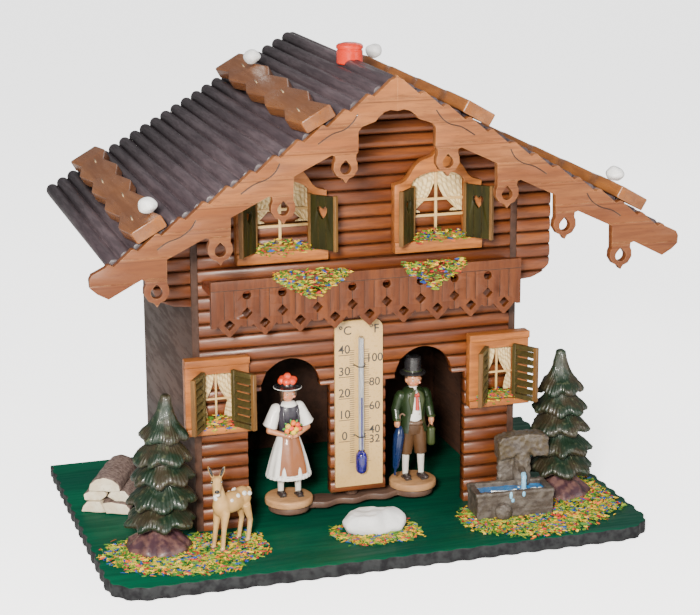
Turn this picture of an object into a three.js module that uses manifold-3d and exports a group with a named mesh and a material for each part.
// A chalet-shaped weather house: a log-fronted house on a green base, with a thermometer, two figures
// that swing out on a carrier hung from a gut string, a balcony, shutters, trees, a deer and a fountain.
import * as THREE from "three";
import { mergeVertices } from "three/addons/utils/BufferGeometryUtils.js";
import Module from "manifold-3d";

const wasm = await Module();
wasm.setup();

// Driving dimensions, in millimetres. +X is the right of the front, +Y the back, +Z up, and the origin is
// at the middle of the base's underside, the width's centre, with the front wall ahead of it.
const seatGap = 0.3; // between a piece and what it is cut by or seated on in a turned group
const slopeGap = 0.1; // between the roof's sloping underside and what carries it

const houseWidth = 134;
const frontWallY = -23.9; // crest of the front wall's logs
const houseBackY = 71.5;
const sideWallThickness = 2.8;
const frontWallThickness = 4.9;
const backPanelThickness = 3;
const backPanelInset = 3;
const ventColumns = 5;
const ventRadius = 5;
const ventHeight = 0.62; // share of the side walls' height

const baseThickness = 5.4;
const baseSideMargin = 43.4; // base beyond the side wall
const baseFrontMargin = 48.6; // base ahead of the front wall
const baseBackMargin = 1.4;
const baseCornerRadius = 15;
const baseWavePitch = 9;
const baseWaveDepth = 0.9;

const logPitch = 5.404;
const logRelief = 1.5;
const logDatum = 3.9; // height of the groove under the lowest log

const ridgeHeight = 190.5;
const roofSlope = 29.9; // degrees
const eaveOverhang = 41.4; // plan distance from side wall to eave
const roofThickness = 4;
const roofFrontMargin = 45.2; // roof ahead of the front wall
const flutePitch = 5.2; // along the slope
const fluteRelief = 1.5;

const doorInnerX = 11.5; // half the hanging pillar
const doorOuterX = 45.6;
const doorSpringZ = 61.5;
const doorArchX = 27.7;
const doorArchRadius = 12.2;
const pillarBottomZ = 15.5;

const frameThickness = 4.5;
const curtainThickness = 0.8;
const curtainGap = 0.3; // around the insert in its opening
const glazingBar = 1;
const lowerWindowInset = 8.5; // opening's centre inside the side wall's outer face
const lowerSillZ = 47.3;
const lowerSillHeight = 2.9;
const lowerFrameHeight = 30.5;
const lowerFrameInnerHalf = 12.8;
const lowerFrameOuterHalf = 12.7;
const lowerSillProud = 1.2;
const lowerOpeningHalf = 6.5;
const lowerOpeningBottom = 5.4; // above the frame's foot
const lowerOpeningHeight = 18.8;
const upperWindowX = 31.8;
const upperFrameZ = 114;
const upperFrameHalf = 18;
const upperShoulderHeight = 27.1;
const upperPeakHeight = 40.1;
const upperOpeningHalf = 11.2;
const upperOpeningBottom = 6.5;
const upperOpeningSpring = 20;
const upperSillHeight = 4.6;

const shutterThickness = 1.8;
const lowerShutterWidth = 12;
const lowerShutterHeight = 22.6;
const lowerShutterOpen = 57; // degrees out from the wall
const upperShutterWidth = 12.6;
const upperShutterHeight = 21.8;
const upperShutterOpen = 48;

const balconyTopZ = 110.9;
const balconyDepth = 15.4; // from the wall's crest to the rail board's front
const balconyInset = 4.2; // each end inside the side wall's outer face
const railThickness = 2.5;
const railHeight = 22.2; // to the tips of its ogee ends
const shelfThickness = 3;
const shelfDrop = 3; // shelf's top below the rail board's top
const railColumns = 8;
const railHoleRadius = 1.6;
const railDiamond = 2.1; // half diagonal
const railTipRise = 4; // the lower edge between two tips

const bracketReach = 14.5; // beyond the side wall
const bracketFootZ = 98;
const bracketFootRise = 6; // height of the rounded foot
const bracketDepth = 9.5;

const bargeThickness = 3.2;
const bargeReach = 5.6; // beyond the eave
const bargeDepth = 20; // measured down from its top line
const bargeWavePitch = 9;
const bargeStepFlat = 0.32; // share of a step's pitch that is nearly level
const bargeStepDrop = 1.9; // of a step's foot below the roof's line
const pendantCount = 4;
const pendantPitch = 23.5;
const firstPendantX = 19.6;
const pendantWidth = 8.6;
const pendantHoleRadius = 2.2;
const apexArchHalf = 14.8;
const apexArchTop = 11.7; // below the ridge

const plankWidth = 12;
const plankThickness = 4.8;
const plankLength = 137;
const plankSkew = 1.5; // degrees
const plankWaves = 5;
const plankWaveDepth = 1.8;
const lowerPlankX = 91.8;
const upperPlankX = 29.3;
const roofStoneHalf = [3.6, 4.2, 2.6];
const lowerStoneSpot = [-5.6, 9]; // across from the plank's middle, and back from its front end
const upperStoneSpot = [-5.6, 108];

const knobRadius = 5.1;
const knobHeight = 8;
const knobSeatDepth = 3.4; // below the ridge line
const pivotSetback = 4.5; // figure carrier's axis behind the front wall's back face
const spindleRadius = 1.5;
const spindleLength = 26;
const runningGap = 0.1; // radial, between the spindle and its bush
const bushWall = 1.4;
const bridgeHalfWidth = 15;
const bridgeDepth = 8.4;
const bridgeDrop = 9; // below the roof's underside at the ridge
const gutRadius = 0.5;
const clampRadius = 2.6;
const clampHeight = 9;

const carrierRest = 4.2; // degrees, with the woman forward
const carrierArm = 27.2;
const carrierZ = 8.2;
const carrierThickness = 2.6;
const carrierNeck = 3.2;
const carrierBump = 2.3;
const carrierWave = 13;
const carrierEndRadius = 8.4;
const discRadius = 9.8;
const discThickness = 2.9;
const womanHeight = 51.3;
const manHeight = 52.3;

const plateWidth = 20;
const plateBottomZ = 18;
const plateHeight = 69.5;
const plateThickness = 1.7;
const plateCorner = 4;
const bulbZ = 28.5; // centre of the bulb
const bulbRadius = 2.3;
const tubeRadius = 1.15;
const tubeTopZ = 81.8;
const clipHeights = [39.9, 69.1];

const treeHeight = 61.5;
const treeMoundRadius = 12;
const treeMoundHeight = 6;
const leftTree = [-17.5, -9.6]; // from the left side wall's outer face, and from the front wall's crest
const rightTree = [21, -0.1]; // from the right side wall and the front wall
const deerSpot = [11, -18.1]; // from the left side wall and the front wall
const deerHeading = 58; // degrees it faces to the left of straight ahead
const stoneSpot = [1, -18.1]; // from the middle and the front wall
const stoneHalf = [13.5, 7, 8.5];
const woodSpot = [-23, 45.9]; // from the left side wall and the front wall
const woodTurn = -25;
const woodLength = 36;
const logRadius = 6.2;
const fountainSpot = [-7.5, -16.6]; // from the right side wall and the front wall
const fountainTurn = -4;
const troughSize = [32, 14, 10.6];
const troughWall = 1.6;
const waterDepth = 3;

// Sizes that follow.
const houseHalf = houseWidth / 2;
const wallHalf = houseHalf - sideWallThickness;
const frontWallBackY = frontWallY + frontWallThickness;
const slope = Math.tan(THREE.MathUtils.degToRad(roofSlope));
const slopeCos = Math.cos(THREE.MathUtils.degToRad(roofSlope));
const slopeSin = Math.sin(THREE.MathUtils.degToRad(roofSlope));
const roofHalf = houseHalf + eaveOverhang;
const roofFrontY = frontWallY - roofFrontMargin;
const railFrontY = frontWallY - balconyDepth;
const pivotY = frontWallBackY + pivotSetback;
const roofTopZ = (x) => ridgeHeight - slope * Math.abs(x);
const roofUnderZ = (x) => roofTopZ(x) - roofThickness / slopeCos;
const frameFrontY = frontWallY - frameThickness;

// Builds a manifold-3d solid from a closed geometry.
function solid(geometry) {
  const bare = geometry.clone();
  bare.deleteAttribute("normal");
  bare.deleteAttribute("uv");
  const merged = mergeVertices(bare, 1e-4);
  const vertProperties = merged.attributes.position.array;
  const triVerts = new Uint32Array(merged.index.array);
  return new wasm.Manifold(new wasm.Mesh({ numProp: 3, vertProperties, triVerts }));
}

// Turns a manifold-3d solid back into a geometry.
function surface(body) {
  const mesh = body.getMesh();
  const geometry = new THREE.BufferGeometry();
  geometry.setAttribute("position", new THREE.BufferAttribute(new Float32Array(mesh.vertProperties), 3));
  geometry.setIndex(new THREE.BufferAttribute(new Uint32Array(mesh.triVerts), 1));
  geometry.computeVertexNormals();
  return geometry;
}

const join = (...geometries) => surface(geometries.map(solid).reduce((whole, next) => whole.add(next)));

function cut(geometry, ...tools) {
  return surface(tools.map(solid).reduce((whole, tool) => whole.subtract(tool), solid(geometry)));
}

// A shape drawn in X and Z, as thick as thickness behind the plane y = front.
function facing(shape, front, thickness, curveSegments = 6) {
  const settings = { depth: thickness, bevelEnabled: false, curveSegments };
  const geometry = new THREE.ExtrudeGeometry(shape, settings);
  return geometry.rotateX(Math.PI / 2).translate(0, front + thickness, 0);
}

// A plate like facing's, with each of the hole shapes cut through it.
function pierced(shape, holes, front, thickness, curveSegments = 6) {
  const tools = holes.map((hole) => facing(hole, front - 1, thickness + 2, curveSegments));
  return cut(facing(shape, front, thickness, curveSegments), ...tools);
}

function disc(x, y, radius) {
  const shape = new THREE.Shape();
  shape.absarc(x, y, radius, 0, 2 * Math.PI, false);
  return shape;
}

// A shape drawn in X and Y, standing on z = bottom.
function standing(shape, bottom, height, curveSegments = 6) {
  const geometry = new THREE.ExtrudeGeometry(shape, { depth: height, bevelEnabled: false, curveSegments });
  return geometry.translate(0, 0, bottom);
}

// A shape drawn in Y and Z, running along X from left to right.
function running(shape, left, right) {
  const geometry = new THREE.ExtrudeGeometry(shape, { depth: right - left, bevelEnabled: false });
  const turn = new THREE.Matrix4().makeBasis(
    new THREE.Vector3(0, 1, 0),
    new THREE.Vector3(0, 0, 1),
    new THREE.Vector3(1, 0, 0),
  );
  return geometry.applyMatrix4(turn).translate(left, 0, 0);
}

const outline = (points) => new THREE.Shape(points.map(([x, y]) => new THREE.Vector2(x, y)));

function block(low, high) {
  const size = high.map((value, axis) => value - low[axis]);
  const middle = high.map((value, axis) => (value + low[axis]) / 2);
  return new THREE.BoxGeometry(...size).translate(...middle);
}

// An upright turned shape: the profile lists [radius, height] from the axis at its foot to its top.
function turned(profile, segments = 12) {
  const points = profile.map(([radius, height]) => new THREE.Vector2(radius, height));
  return new THREE.LatheGeometry(points, segments).rotateX(Math.PI / 2);
}

const rod = (radius, bottom, top, segments = 16) =>
  turned([[0, bottom], [radius, bottom], [radius, top], [0, top]], segments);

// A low-sided ball stretched to three half sizes.
const lump = (centre, half, wide = 8, high = 5) =>
  new THREE.SphereGeometry(1, wide, high).rotateX(Math.PI / 2).scale(...half).translate(...centre);

// A tapered limb from one point to another.
function limb(from, to, radiusFrom, radiusTo, segments = 7) {
  const start = new THREE.Vector3(...from);
  const along = new THREE.Vector3(...to).sub(start);
  const geometry = new THREE.CylinderGeometry(radiusTo, radiusFrom, along.length(), segments);
  geometry.translate(0, along.length() / 2, 0);
  const turn = new THREE.Quaternion().setFromUnitVectors(new THREE.Vector3(0, 1, 0), along.normalize());
  return geometry.applyQuaternion(turn).translate(...from);
}

const colours = {
  wallWood: [0x8a4a28, 0.45],
  sideWood: [0x4c4340, 0.6],
  roofWood: [0x4a3a3c, 0.5],
  bargeWood: [0xa5673c, 0.4],
  frameWood: [0x9a6238, 0.45],
  plankWood: [0x9c5f33, 0.35],
  greenPaint: [0x0f6b45, 0.4],
  olivePaint: [0x4f5a24, 0.5],
  creamCard: [0xefe3bf, 0.7],
  cream: [0xe9d9a8, 0.45],
  glass: [0xdfe8ee, 0.1],
  steel: [0xb9bcc0, 0.35, 1],
  brass: [0xc9a24d, 0.35, 1],
  gut: [0xe6dcc2, 0.5],
  redPlastic: [0xd83c17, 0.3],
  discWood: [0x8a6844, 0.5],
  woman: [0xe8e4dc, 0.5],
  man: [0x3d5a35, 0.5],
  tree: [0x33443a, 0.45],
  deer: [0xc79a58, 0.5],
  stone: [0xe8e6e0, 0.7],
  bark: [0x6a5548, 0.8],
  trough: [0x6b6152, 0.7],
  water: [0x2f7fc2, 0.15],
};

const house = new THREE.Group();

function add(name, geometry, colour, parent = house) {
  const [color, roughness, metalness = 0] = colours[colour];
  const mesh = new THREE.Mesh(geometry, new THREE.MeshStandardMaterial({ color, roughness, metalness }));
  mesh.name = name;
  parent.add(mesh);
  return mesh;
}

const sides = [["left", -1], ["right", 1]];

// Logs stacked up the front, drawn in Y and Z: each is a half round between two grooves.
function logStack(front, back, low, high) {
  const firstLog = Math.floor((low - logDatum) / logPitch);
  const lastLog = Math.ceil((high - logDatum) / logPitch);
  const facets = 4;
  const points = [[back, logDatum + firstLog * logPitch]];
  for (let log = firstLog; log < lastLog; log++) {
    for (let step = 0; step < facets; step++) {
      const angle = (Math.PI * step) / facets;
      const rise = (logPitch * (1 - Math.cos(angle))) / 2;
      points.push([front + logRelief * (1 - Math.sin(angle)), logDatum + log * logPitch + rise]);
    }
  }
  points.push([front + logRelief, logDatum + lastLog * logPitch]);
  points.push([back, logDatum + lastLog * logPitch]);
  return outline(points);
}

function addBase() {
  const left = -houseHalf - baseSideMargin;
  const right = -left;
  const front = frontWallY - baseFrontMargin;
  const back = houseBackY + baseBackMargin;
  const path = [];
  // The edge's moulding: shallow scallops cut in from the straight or round edge.
  function run(length, place) {
    const count = Math.max(1, Math.round(length / baseWavePitch));
    for (let step = 0; step < count * 4; step++) {
      const dip = [0, 1, 1, 0][step % 4] * baseWaveDepth;
      path.push(place((length * step) / (count * 4), dip));
    }
  }
  const radius = baseCornerRadius;
  const arc = (Math.PI / 2) * radius;
  run(right - left - 2 * radius, (s, dip) => [left + radius + s, front + dip]);
  run(arc, (s, dip) => [
    right - radius + (radius - dip) * Math.sin(s / radius),
    front + radius - (radius - dip) * Math.cos(s / radius),
  ]);
  run(back - front - radius, (s, dip) => [right - dip, front + radius + s]);
  path.push([right, back]);
  path.push([left, back]);
  run(back - front - radius, (s, dip) => [left + dip, back - s]);
  run(arc, (s, dip) => [
    left + radius - (radius - dip) * Math.cos(s / radius),
    front + radius - (radius - dip) * Math.sin(s / radius),
  ]);
  add("base_board", standing(outline(path), 0, baseThickness), "greenPaint");
}

function addWalls() {
  const topAt = (x) => roofUnderZ(x) - slopeGap;
  const gable = outline([
    [-wallHalf, baseThickness],
    [wallHalf, baseThickness],
    [wallHalf, topAt(wallHalf)],
    [0, topAt(0)],
    [-wallHalf, topAt(wallHalf)],
  ]);
  const stack = logStack(frontWallY, frontWallBackY, baseThickness, ridgeHeight);
  const logs = running(stack, -houseHalf, houseHalf);
  const plate = facing(gable, frontWallY - logRelief, frontWallThickness + 2 * logRelief);
  let wall = solid(logs).intersect(solid(plate));
  for (const [, side] of sides) {
    const door = new THREE.Shape();
    door.moveTo(side * doorInnerX, 0);
    door.lineTo(side * doorInnerX, doorSpringZ);
    door.lineTo(side * (doorArchX - doorArchRadius), doorSpringZ);
    const [from, to] = side > 0 ? [Math.PI, 0] : [0, Math.PI];
    door.absarc(side * doorArchX, doorSpringZ, doorArchRadius, from, to, side > 0);
    door.lineTo(side * doorOuterX, doorSpringZ);
    door.lineTo(side * doorOuterX, 0);
    wall = wall.subtract(solid(facing(door, frontWallY - 5, frontWallThickness + 10, 10)));
  }
  const under = block([-doorOuterX, frontWallY - 5, 0], [doorOuterX, frontWallBackY + 5, pillarBottomZ]);
  add("front_log_wall", surface(wall.subtract(solid(under))), "wallWood");

  for (const [name, side] of sides) {
    const section = outline([
      [side * wallHalf, baseThickness],
      [side * houseHalf, baseThickness],
      [side * houseHalf, topAt(houseHalf)],
      [side * wallHalf, topAt(wallHalf)],
    ]);
    add(name + "_side_wall", facing(section, frontWallY, houseBackY - frontWallY), "sideWood");
  }

  const ventPitch = wallHalf / 3;
  const vents = [];
  for (let column = 0; column < ventColumns; column++) {
    const x = (column - (ventColumns - 1) / 2) * ventPitch;
    vents.push(disc(x, baseThickness + ventHeight * (topAt(wallHalf) - baseThickness), ventRadius));
  }
  const backFace = houseBackY - backPanelInset - backPanelThickness;
  add("back_panel", pierced(gable, vents, backFace, backPanelThickness, 5), "sideWood");
}

// Log ends outside the side walls, from the balcony's ends up to the roof.
function addBrackets() {
  for (const [name, side] of sides) {
    const shape = new THREE.Shape();
    const inner = side * (houseHalf + slopeGap);
    const outer = side * (houseHalf + bracketReach);
    shape.moveTo(inner, bracketFootZ);
    shape.quadraticCurveTo(outer, bracketFootZ + 1, outer, bracketFootZ + bracketFootRise);
    shape.lineTo(outer, roofUnderZ(houseHalf + bracketReach) - slopeGap);
    shape.lineTo(inner, roofUnderZ(houseHalf + slopeGap) - slopeGap);
    const low = Math.min(inner, outer);
    const high = Math.max(inner, outer);
    const back = frontWallY + bracketDepth;
    const stack = logStack(frontWallY, back, bracketFootZ, roofUnderZ(houseHalf));
    const body = solid(running(stack, low, high));
    const cheek = solid(facing(shape, frontWallY - 1, bracketDepth + 2));
    add(name + "_log_bracket", surface(body.intersect(cheek)), "wallWood");
  }
}

function addBalcony() {
  const half = houseHalf - balconyInset;
  const pitch = (2 * half) / (railColumns + 1);
  const top = balconyTopZ;
  const tip = top - railHeight;
  const points = [[-half, top], [-half, tip + railTipRise]];
  const tips = railColumns + 1;
  for (let index = 0; index < tips; index++) {
    const centre = (index - (tips - 1) / 2) * pitch;
    points.push([centre - pitch * 0.36, tip + railTipRise]);
    points.push([centre - pitch * 0.22, tip + railTipRise * 0.6]);
    points.push([centre - pitch * 0.12, tip + railTipRise * 0.35]);
    points.push([centre, tip]);
    points.push([centre + pitch * 0.12, tip + railTipRise * 0.35]);
    points.push([centre + pitch * 0.22, tip + railTipRise * 0.6]);
    points.push([centre + pitch * 0.36, tip + railTipRise]);
  }
  points.push([half, tip + railTipRise], [half, top]);
  const board = outline(points);
  const holes = [];
  const diamond = (x, z) => holes.push(outline([
    [x - railDiamond, z],
    [x, z - railDiamond],
    [x + railDiamond, z],
    [x, z + railDiamond],
  ]));
  for (let column = 0; column < railColumns; column++) {
    const x = (column - (railColumns - 1) / 2) * pitch;
    holes.push(disc(x, top - 5.9, railHoleRadius));
    diamond(x, top - 12.9);
  }
  for (let index = 0; index < tips; index++) {
    diamond((index - (tips - 1) / 2) * pitch, top - 17.2);
  }
  add("balcony_rail_board", pierced(board, holes, railFrontY, railThickness, 4), "wallWood");
  const shelfBack = frontWallY;
  const shelf = block(
    [-half, railFrontY + railThickness, top - shelfDrop - shelfThickness],
    [half, shelfBack, top - shelfDrop],
  );
  add("balcony_shelf", shelf, "wallWood");
}

// A point on a roof slope: along it from the ridge, and above its top line.
function onSlope(side, along, above) {
  return [side * (along * slopeCos + above * slopeSin), ridgeHeight - along * slopeSin + above * slopeCos];
}

function addRoof() {
  const length = roofHalf / slopeCos;
  const flutes = Math.round(length / flutePitch);
  const wellFoot = ridgeHeight - knobSeatDepth;
  const well = rod(knobRadius + seatGap, wellFoot, ridgeHeight + 5, 24).translate(0, pivotY, 0);
  const hole = rod(spindleRadius + seatGap, ridgeHeight - 20, ridgeHeight, 16).translate(0, pivotY, 0);
  for (const [name, side] of sides) {
    const points = [[0, roofUnderZ(0)], [0, ridgeHeight - fluteRelief / slopeCos]];
    for (let step = 1; step < flutes * 4; step++) {
      const above = -fluteRelief * (1 - Math.sin((Math.PI * (step % 4)) / 4));
      points.push(onSlope(side, (length * step) / (flutes * 4), above));
    }
    points.push(onSlope(side, length, -fluteRelief));
    points.push(onSlope(side, length, -roofThickness));
    const panel = facing(outline(points), roofFrontY, houseBackY - roofFrontY);
    add(name + "_roof_panel", cut(panel, well, hole), "roofWood");
  }
}

// A barge board hangs from the roof's front edge: its top is stepped like log ends, and its stepped
// lower edge ends in pierced pendants.
function addBargeBoards() {
  const end = roofHalf + bargeReach;
  const topLine = (x) => ridgeHeight + slopeGap - slope * x;
  for (const [name, side] of sides) {
    const points = [[0, topLine(0)]];
    const waves = Math.round(end / bargeWavePitch);
    const wave = end / waves;
    for (let index = 0; index < waves; index++) {
      const x = index * wave;
      const z = topLine(x) - bargeStepDrop;
      if (index) points.push([x, z - 0.2]);
      points.push([x + wave * bargeStepFlat * 0.9, z + 0.4], [x + wave * (bargeStepFlat + 0.06), z]);
    }
    points.push([end, topLine(end)], [end, topLine(end) - 3.6], [end - 6.6, topLine(end) - 8.4]);
    for (let index = pendantCount - 1; index >= 0; index--) {
      const x = firstPendantX + index * pendantPitch;
      const z = topLine(x) - bargeDepth;
      const half = pendantWidth / 2;
      points.push([x + half + 1, z + 3.6]);
      points.push([x + half - 0.3, z + 3.2]);
      points.push([x + half - 0.3, z + 1.6]);
      points.push([x + half, z - 0.8]);
      points.push([x + half - 1.2, z - 3.6]);
      points.push([x, z - 6.4]);
      points.push([x - half + 1.2, z - 3.6]);
      points.push([x - half, z - 0.8]);
      points.push([x - half + 0.3, z + 1.6]);
      points.push([x - half + 0.3, index ? z + 10.6 : z + 3.6]);
    }
    const archTop = ridgeHeight - apexArchTop;
    points.push([apexArchHalf, archTop - 14.9]);
    points.push([apexArchHalf, archTop - 7.1]);
    points.push([8, archTop - 3.3]);
    points.push([4.8, archTop - 0.8]);
    points.push([0, archTop]);
    const board = outline(points.map(([x, z]) => [side * x, z]));
    const holes = [];
    for (let index = 0; index < pendantCount; index++) {
      const x = firstPendantX + index * pendantPitch;
      holes.push(disc(side * x, topLine(x) - bargeDepth - 1, pendantHoleRadius));
    }
    const front = roofFrontY - bargeThickness;
    add(name + "_barge_board", pierced(board, holes, front, bargeThickness, 4), "bargeWood");
  }
}

// Wavy planks lie on the slopes with white stones on them, as on an alpine roof.
function addPlanksAndStones() {
  const start = roofFrontY - bargeThickness;
  for (const [name, side] of sides) {
    for (const [level, x] of [["lower", lowerPlankX], ["upper", upperPlankX]]) {
      const stepsPerWave = 8;
      const steps = plankWaves * stepsPerWave;
      const bend = (step) => (plankWaveDepth * Math.sin((2 * Math.PI * step) / stepsPerWave)) / 2;
      const points = [];
      for (let step = 0; step <= steps; step++) {
        points.push([plankWidth / 2 + bend(step), (plankLength * step) / steps]);
      }
      for (let step = steps; step >= 0; step--) {
        points.push([-plankWidth / 2 + bend(step), (plankLength * step) / steps]);
      }
      const plank = new THREE.Group();
      const turn = THREE.MathUtils.degToRad(roofSlope);
      const [px, pz] = onSlope(side, x / slopeCos, seatGap);
      plank.position.set(px, start, pz);
      plank.rotation.y = side * turn;
      const spin = new THREE.Group();
      spin.rotation.z = side * THREE.MathUtils.degToRad(plankSkew);
      plank.add(spin);
      house.add(plank);
      const board = standing(outline(points), 0, plankThickness);
      add(name + "_" + level + "_roof_plank", board, "plankWood", spin);
      const [across, along] = level === "lower" ? lowerStoneSpot : upperStoneSpot;
      const rise = plankThickness + roofStoneHalf[2] + seatGap;
      const stone = lump([side * across, along, rise], roofStoneHalf);
      add(name + "_" + level + "_roof_stone", stone, "stone", spin);
    }
  }
}

// The lower frame is a plain rectangle with a header and a sill, the upper one has an ogee head.
function addWindow(name, centre, kind) {
  const lower = kind === "lower";
  const foot = lower ? lowerSillZ : upperFrameZ;
  const half = lower ? lowerOpeningHalf : upperOpeningHalf;
  const openBottom = foot + (lower ? lowerOpeningBottom : upperOpeningBottom);
  const frame = new THREE.Shape();
  const opening = new THREE.Shape();
  if (lower) {
    const top = foot + lowerFrameHeight;
    frame.moveTo(centre - lowerFrameOuterHalf, foot);
    frame.lineTo(centre + lowerFrameInnerHalf, foot);
    frame.lineTo(centre + lowerFrameInnerHalf, top);
    frame.lineTo(centre - lowerFrameOuterHalf, top);
    opening.moveTo(centre - half, openBottom);
    opening.lineTo(centre + half, openBottom);
    opening.lineTo(centre + half, openBottom + lowerOpeningHeight);
    opening.lineTo(centre - half, openBottom + lowerOpeningHeight);
  } else {
    const shoulder = foot + upperShoulderHeight;
    const peak = foot + upperPeakHeight;
    frame.moveTo(centre - upperFrameHalf, foot);
    frame.lineTo(centre + upperFrameHalf, foot);
    frame.lineTo(centre + upperFrameHalf, shoulder);
    frame.lineTo(centre + upperFrameHalf * 0.7, shoulder + 1.5);
    const flank = upperFrameHalf * 0.45;
    frame.quadraticCurveTo(centre + flank, peak - 4, centre, peak);
    frame.quadraticCurveTo(centre - flank, peak - 4, centre - upperFrameHalf * 0.7, shoulder + 1.5);
    frame.lineTo(centre - upperFrameHalf, shoulder);
    opening.moveTo(centre - half, openBottom);
    opening.lineTo(centre + half, openBottom);
    const spring = openBottom + upperOpeningSpring;
    opening.lineTo(centre + half, spring);
    opening.quadraticCurveTo(centre, spring + 10, centre - half, spring);
  }
  const sillHeight = lower ? lowerSillHeight : upperSillHeight;
  const sillHalf = lower ? lowerFrameOuterHalf : upperFrameHalf;
  const proud = lowerSillProud;
  const plate = pierced(frame, [opening], frameFrontY, frameThickness, 5);
  const sillTop = foot + sillHeight;
  const sillFront = frameFrontY - proud;
  const sill = block([centre - sillHalf, sillFront, foot], [centre + sillHalf, frontWallY, sillTop]);
  add(name + "_window_frame", join(plate, sill), "frameWood");
  addCurtain(name, centre, openBottom, half, lower ? lowerOpeningHeight : upperOpeningSpring);
  for (const [hand, side] of sides) {
    addShutter(name + "_window_" + hand + "_shutter", centre, half, side, kind);
  }
}

// A card insert with two drawn curtains and glazing bars: four panes are cut out of it.
function addCurtain(name, centre, bottom, half, height) {
  const edge = half - curtainGap;
  const low = bottom + curtainGap;
  const high = bottom + height - curtainGap;
  const card = outline([
    [centre - edge, low],
    [centre + edge, low],
    [centre + edge, high],
    [centre - edge, high],
  ]);
  const bar = glazingBar / 2;
  const rail = low + (high - low) * 0.42;
  const front = frontWallY - curtainThickness - seatGap;
  const panes = [];
  for (const [, side] of sides) {
    const paneEdge = edge - 0.8;
    const lowerPane = [[bar, low + 1.2], [paneEdge, low + 1.2], [paneEdge, rail - bar], [bar, rail - bar]];
    const drape = [edge * 0.5, rail + (high - rail) * 0.4];
    const upperPane = [[bar, rail + bar], [edge - 1.2, rail + bar], drape, [bar, high - 2.4]];
    for (const pane of [lowerPane, upperPane]) {
      panes.push(outline(pane.map(([x, z]) => [centre + side * x, z])));
    }
  }
  add(name + "_window_curtain", pierced(card, panes, front, curtainThickness), "creamCard");
}

function addShutter(name, centre, half, side, kind) {
  const lower = kind === "lower";
  const width = lower ? lowerShutterWidth : upperShutterWidth;
  const height = lower ? lowerShutterHeight : upperShutterHeight;
  const board = outline([[0, 0], [side * width, 0], [side * width, height], [0, height]]);
  const holes = [];
  if (lower) {
    const slats = 5;
    const margin = 2;
    const slatPitch = (height - 2 * margin) / slats;
    for (let index = 0; index < slats; index++) {
      const z = margin + slatPitch * (index + 0.5);
      holes.push(outline([
        [side * margin, z - 0.7],
        [side * (width - margin), z - 0.7],
        [side * (width - margin), z + 0.7],
        [side * margin, z + 0.7],
      ]));
    }
  } else {
    const heart = new THREE.Shape();
    const x = (side * width) / 2;
    const z = height * 0.72;
    heart.moveTo(x, z - 3);
    heart.quadraticCurveTo(x + 2.6, z, x + 1.6, z + 1.6);
    heart.quadraticCurveTo(x + 0.5, z + 2.2, x, z + 0.8);
    heart.quadraticCurveTo(x - 0.5, z + 2.2, x - 1.6, z + 1.6);
    heart.quadraticCurveTo(x - 2.6, z, x, z - 3);
    holes.push(heart);
  }
  const bottom = lower ? lowerSillZ + lowerSillHeight + seatGap : upperFrameZ + upperSillHeight + seatGap;
  const hinge = new THREE.Group();
  hinge.position.set(centre + side * half, frameFrontY - seatGap, bottom);
  hinge.rotation.z = -side * THREE.MathUtils.degToRad(lower ? lowerShutterOpen : upperShutterOpen);
  house.add(hinge);
  add(name, pierced(board, holes, -shutterThickness, shutterThickness, 3), "olivePaint", hinge);
}

function addThermometer() {
  const half = plateWidth / 2;
  const back = frontWallY;
  const front = back - plateThickness;
  const top = plateBottomZ + plateHeight;
  const plate = new THREE.Shape();
  plate.moveTo(-half, plateBottomZ);
  plate.lineTo(half, plateBottomZ);
  plate.lineTo(half, top - plateCorner);
  plate.absarc(half - plateCorner, top - plateCorner, plateCorner, 0, Math.PI / 2, false);
  plate.absarc(-half + plateCorner, top - plateCorner, plateCorner, Math.PI / 2, Math.PI, false);
  add("thermometer_plate", facing(plate, front, plateThickness, 4), "cream");

  const tubeY = front - bulbRadius - seatGap;
  const tube = turned([
    [0, bulbZ - 1.9 * bulbRadius],
    [bulbRadius * 0.7, bulbZ - 1.5 * bulbRadius],
    [bulbRadius, bulbZ - bulbRadius * 0.6],
    [bulbRadius, bulbZ + bulbRadius * 1.2],
    [tubeRadius, bulbZ + bulbRadius * 2],
    [tubeRadius, tubeTopZ - tubeRadius],
    [0, tubeTopZ],
  ], 12);
  add("thermometer_tube", tube.translate(0, tubeY, 0), "glass");

  clipHeights.forEach((z, index) => {
    const inside = tubeRadius + seatGap;
    const outside = inside + 0.6;
    const saddle = outline([
      [-outside - 1.6, front],
      [-inside, front],
      [-inside, tubeY - inside],
      [inside, tubeY - inside],
      [inside, front],
      [outside + 1.6, front],
      [outside + 1.6, front - 0.6],
      [outside, front - 0.6],
      [outside, tubeY - outside],
      [-outside, tubeY - outside],
      [-outside, front - 0.6],
      [-outside - 1.6, front - 0.6],
    ]);
    add(["lower", "upper"][index] + "_tube_clip", standing(saddle, z - 0.9, 1.8), "steel");
  });
}

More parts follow.
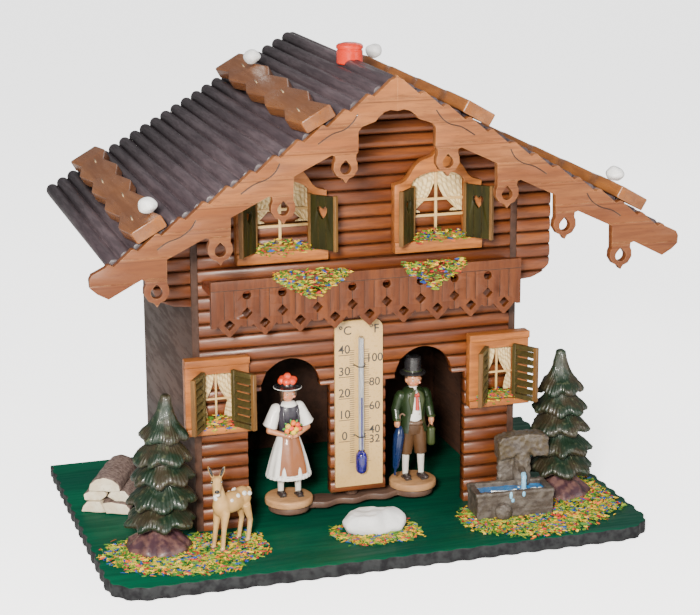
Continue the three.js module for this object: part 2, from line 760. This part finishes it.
// The adjuster turns the string's upper end: knob, spindle, bush and the cross block under the ridge.
function addAdjuster() {
  const seat = ridgeHeight - knobSeatDepth + seatGap;
  const knobTop = seat + knobHeight;
  const boreTop = knobTop - 2.5;
  const spindleTop = boreTop - seatGap;
  const knob = turned([
    [spindleRadius + runningGap, seat],
    [knobRadius, seat],
    [knobRadius, knobTop - 0.8],
    [knobRadius - 0.8, knobTop],
    [0, knobTop],
    [0, boreTop],
    [spindleRadius + runningGap, boreTop],
    [spindleRadius + runningGap, seat],
  ], 24);
  add("chimney_knob", knob.translate(0, pivotY, 0), "redPlastic");
  const spindle = rod(spindleRadius, spindleTop - spindleLength, spindleTop, 24);
  add("adjuster_spindle", spindle.translate(0, pivotY, 0), "brass");

  const under = roofUnderZ(0) - slopeGap;
  const low = under - bridgeDrop - slope * bridgeHalfWidth;
  const bushOuter = spindleRadius + runningGap + bushWall;
  const section = outline([
    [-bridgeHalfWidth, low],
    [bridgeHalfWidth, low],
    [bridgeHalfWidth, under - slope * bridgeHalfWidth],
    [0, under],
    [-bridgeHalfWidth, under - slope * bridgeHalfWidth],
  ]);
  const bore = rod(bushOuter + runningGap, low - 5, under + 5, 24).translate(0, pivotY, 0);
  const bridge = cut(facing(section, pivotY - bridgeDepth / 2, bridgeDepth), bore);
  add("spindle_bridge", bridge, "frameWood");
  const inner = spindleRadius + runningGap;
  const bushTop = under - 4;
  const bushProfile = [[inner, low], [bushOuter, low], [bushOuter, bushTop], [inner, bushTop], [inner, low]];
  const bush = turned(bushProfile, 24);
  add("spindle_bush", bush.translate(0, pivotY, 0), "brass");
  return spindleTop - spindleLength;
}

// The carrier bar, drawn about its own axis: wavy sides, a boss in the middle, round ends.
function carrierOutline() {
  const halfWidth = (x) => carrierNeck + carrierBump * Math.cos((Math.PI * x) / carrierWave) ** 2;
  const joinWidth = halfWidth(carrierArm - carrierEndRadius);
  const joinAngle = Math.asin(joinWidth / carrierEndRadius);
  const joinX = carrierArm - carrierEndRadius * Math.cos(joinAngle);
  const upper = [];
  const endSteps = 12;
  for (let step = 0; step <= endSteps; step++) {
    const angle = Math.PI - joinAngle - ((Math.PI - joinAngle) * step) / endSteps;
    upper.push([carrierArm + carrierEndRadius * Math.cos(angle), carrierEndRadius * Math.sin(angle)]);
  }
  const barSteps = 12;
  const bar = [];
  for (let step = -barSteps + 1; step < barSteps; step++) {
    const x = (joinX * step) / barSteps;
    bar.push([x, halfWidth(x)]);
  }
  const leftEnd = upper.slice(0, -1).map(([x, y]) => [-x, y]).reverse();
  const top = [[-carrierArm - carrierEndRadius, 0], ...leftEnd, ...bar, ...upper];
  const bottom = top.slice(1, -1).map(([x, y]) => [x, -y]).reverse();
  return outline([...top, ...bottom]);
}

function addCarrier(spindleFoot) {
  const carrier = new THREE.Group();
  carrier.position.set(0, pivotY, 0);
  carrier.rotation.z = THREE.MathUtils.degToRad(carrierRest);
  house.add(carrier);
  const barTop = carrierZ + carrierThickness;
  add("carrier_bar", standing(carrierOutline(), carrierZ, carrierThickness), "discWood", carrier);
  const clampFoot = barTop + seatGap;
  add("gut_clamp", rod(clampRadius, clampFoot, clampFoot + clampHeight, 12), "discWood", carrier);
  const gutFoot = clampFoot + clampHeight + seatGap;
  add("gut_string", rod(gutRadius, gutFoot, spindleFoot - seatGap, 8), "gut", carrier);
  const discFoot = barTop + seatGap;
  const figureFoot = discFoot + discThickness + seatGap;
  for (const [name, side] of [["woman", -1], ["man", 1]]) {
    const stand = new THREE.Group();
    stand.position.set(side * carrierArm, 0, 0);
    carrier.add(stand);
    const rim = discFoot + discThickness;
    const disc = turned([
      [0, discFoot],
      [discRadius, discFoot],
      [discRadius, rim - 0.6],
      [discRadius - 0.6, rim],
      [0, rim],
    ], 24);
    add(name + "_disc", disc, "discWood", stand);
    const figure = name === "woman" ? womanShape() : manShape();
    add(name + "_figure", figure.translate(0, 0, figureFoot), name, stand);
  }
}

// Standing figures, drawn with their feet at zero and facing the front.
function womanShape() {
  const tall = womanHeight / 51.3;
  const body = turned([
    [0, 8], [9, 9.5], [7.2, 17], [5, 24], [3.4, 27], [4.6, 33], [4.2, 38], [1.9, 39.6],
    [2.4, 40.4], [3.3, 42.6], [3.3, 44.6], [5.3, 45], [5.3, 45.8], [3.9, 46], [4, 49], [2.4, 51], [0, 51.3],
  ], 12).scale(1, 0.86, 1);
  return join(
    body,
    limb([-3, 0.8, 0], [-3, 0.8, 12], 2, 1.6),
    limb([4, -0.8, 0], [3.6, -0.4, 12], 2, 1.6),
    lump([-6.4, 0, 33.5], [3, 3, 4.6]),
    lump([6.4, 0, 33.5], [3, 3, 4.6]),
    limb([-7, 0, 30.5], [-0.5, -5.4, 27.6], 1.6, 1.3),
    limb([7, 0, 30.5], [0.5, -5.4, 27.6], 1.6, 1.3),
    lump([0, -5.4, 30.6], [3.6, 2.6, 4.4]),
  ).scale(1, 1, tall);
}

function manShape() {
  const tall = manHeight / 52.3;
  const head = turned([
    [0, 38], [1.9, 38.6], [3.2, 42], [3.2, 44.6], [5.2, 45.2],
    [5.2, 46], [3.6, 46.4], [3.4, 51.6], [0, 52.3],
  ], 10);
  return join(
    head,
    lump([0, 0, 31.6], [6, 4, 9.2], 10, 6),
    lump([0, 0, 22.6], [5.2, 4, 7], 10, 5),
    limb([-3, 0.6, 0], [-2.6, 0.2, 22], 2, 3.4),
    limb([3.4, -0.8, 0], [2.8, 0, 22], 2, 3.4),
    limb([-5.8, 0.4, 36], [-7.2, -1, 24.6], 2.5, 1.8),
    limb([5.8, 0.4, 36], [7.4, -1, 24.6], 2.5, 1.8),
    limb([-8.6, -1, 3], [-7.2, -1.2, 25.4], 0.7, 2.4, 8),
    lump([7.8, -0.4, 20], [2.2, 1.8, 4.6]),
  ).scale(1, 1, tall);
}

function treeShape() {
  const top = baseThickness + treeHeight;
  const foot = baseThickness + treeMoundHeight - 1;
  const tiers = [
    [12, 0.13], [11.8, 0.29], [11, 0.44], [9.6, 0.58], [7.8, 0.72], [5, 0.85],
  ];
  const profile = [[0, foot], [3, foot], [3, foot + 4]];
  for (const [radius, share] of tiers) {
    const height = foot + share * (top - foot);
    profile.push([radius, height - 3.4], [radius - 0.4, height - 1.6], [radius * 0.5, height + 4.2]);
  }
  profile.push([0, top]);
  const mound = turned([
    [0, baseThickness],
    [treeMoundRadius, baseThickness],
    [treeMoundRadius * 0.86, baseThickness + treeMoundHeight * 0.6],
    [treeMoundRadius * 0.5, baseThickness + treeMoundHeight],
    [0, baseThickness + treeMoundHeight],
  ], 12);
  return join(mound, turned(profile, 12));
}

// Standing deer, drawn facing the front with its feet at zero.
function deerShape() {
  return join(
    lump([0, 2, 17], [4.2, 9.2, 5.6], 10, 6),
    limb([0, -3.5, 18], [0, -7.4, 26], 3.4, 2.2),
    lump([0, -8.6, 26.4], [2.5, 4, 2.8]),
    limb([0, -10, 26], [0, -14, 23.6], 2, 1.4),
    limb([-2, -6.6, 27], [-3.6, -6, 31.6], 1.3, 0.5, 6),
    limb([2, -6.6, 27], [3.6, -6, 31.6], 1.3, 0.5, 6),
    limb([-2.4, -4.4, 0], [-2.2, -3.4, 16], 1.1, 1.9, 6),
    limb([2.4, -4.4, 0], [2.2, -3.4, 16], 1.1, 1.9, 6),
    limb([-2.4, 8, 0], [-2.2, 7.4, 16], 1.1, 2.3, 6),
    limb([2.4, 8, 0], [2.2, 7.4, 16], 1.1, 2.3, 6),
    lump([0, 11, 18], [1.2, 1.6, 2.4]),
  );
}

// Split logs stacked three, two and one.
function woodShape() {
  const pieces = [];
  for (let row = 0; row < 3; row++) {
    for (let index = 0; index < 3 - row; index++) {
      const x = (index - (2 - row) / 2) * logRadius * 1.45;
      const z = baseThickness + logRadius * (0.78 + row * 0.95);
      const log = new THREE.CylinderGeometry(logRadius * 0.86, logRadius * 0.86, woodLength - row * 4, 7);
      pieces.push(log.rotateY(0.4 * (row + index)).translate(x, 0, z));
    }
  }
  const ground = block([-40, -40, baseThickness - 20], [40, 40, baseThickness]);
  const stack = pieces.map(solid).reduce((whole, next) => whole.add(next));
  return surface(stack.subtract(solid(ground)));
}

function fountainShapes() {
  const [wide, deep, high] = troughSize;
  const box = block([-wide / 2, -deep / 2, 0], [wide / 2, deep / 2, high]);
  const hollow = block(
    [-wide / 2 + troughWall, -deep / 2 + troughWall, high - waterDepth - 2],
    [wide / 2 - troughWall, deep / 2 - troughWall, high + 5],
  );
  const post = block([3.4, deep / 2 - 3, 0.5], [10, deep / 2 + 3.4, 26]);
  const head = block([-4.6, deep / 2 - 3.6, 20.2], [18.4, deep / 2 + 4, 31]);
  const spout = limb([5.6, deep / 2 - 2, 15.5], [5.6, deep / 2 - 5.6, 13.6], 1.3, 1.1);
  const body = join(surface(solid(box).subtract(solid(hollow))), post, head, spout);
  const level = high - 1.2;
  const water = block(
    [-wide / 2 + troughWall + seatGap, -deep / 2 + troughWall + seatGap, level - waterDepth],
    [wide / 2 - troughWall - seatGap, deep / 2 - 3 - seatGap, level],
  );
  const jet = rod(1, level - 1, 12.4 - seatGap, 8).translate(5.6, deep / 2 - 5, 0);
  return [body, join(water, jet)];
}

function addGarden() {
  for (const [name, side] of sides) {
    const [x, y] = side < 0 ? leftTree : rightTree;
    add(name + "_tree", treeShape(), "tree").position.set(side * houseHalf + x, frontWallY + y, 0);
  }
  const deer = add("deer", deerShape(), "deer");
  deer.position.set(-houseHalf + deerSpot[0], frontWallY + deerSpot[1], baseThickness + seatGap);
  deer.rotation.z = THREE.MathUtils.degToRad(-deerHeading);
  const [rx, ry, rz] = stoneHalf;
  const boulder = turned([
    [0, 0], [0.92, 0], [1, 0.3], [0.86, 0.75], [0.5, 1], [0, 1.04],
  ], 12).scale(rx, ry, rz).translate(0, 0, baseThickness);
  add("ground_stone", boulder, "stone").position.set(stoneSpot[0], frontWallY + stoneSpot[1], 0);
  const wood = add("firewood_stack", woodShape(), "bark");
  wood.position.set(-houseHalf + woodSpot[0], frontWallY + woodSpot[1], seatGap);
  wood.rotation.z = THREE.MathUtils.degToRad(woodTurn);
  const [trough, water] = fountainShapes();
  for (const [name, shape, colour] of [["fountain", trough, "trough"], ["fountain_water", water, "water"]]) {
    const mesh = add(name, shape, colour);
    mesh.position.set(houseHalf + fountainSpot[0], frontWallY + fountainSpot[1], baseThickness + seatGap);
    mesh.rotation.z = THREE.MathUtils.degToRad(fountainTurn);
  }
}

addBase();
addWalls();
addBrackets();
addBalcony();
addRoof();
addBargeBoards();
addPlanksAndStones();
for (const [name, side] of sides) {
  addWindow(name + "_lower", side * (houseHalf - lowerWindowInset), "lower");
  addWindow(name + "_upper", side * upperWindowX, "upper");
}
addThermometer();
addCarrier(addAdjuster());
addGarden();

export default house;
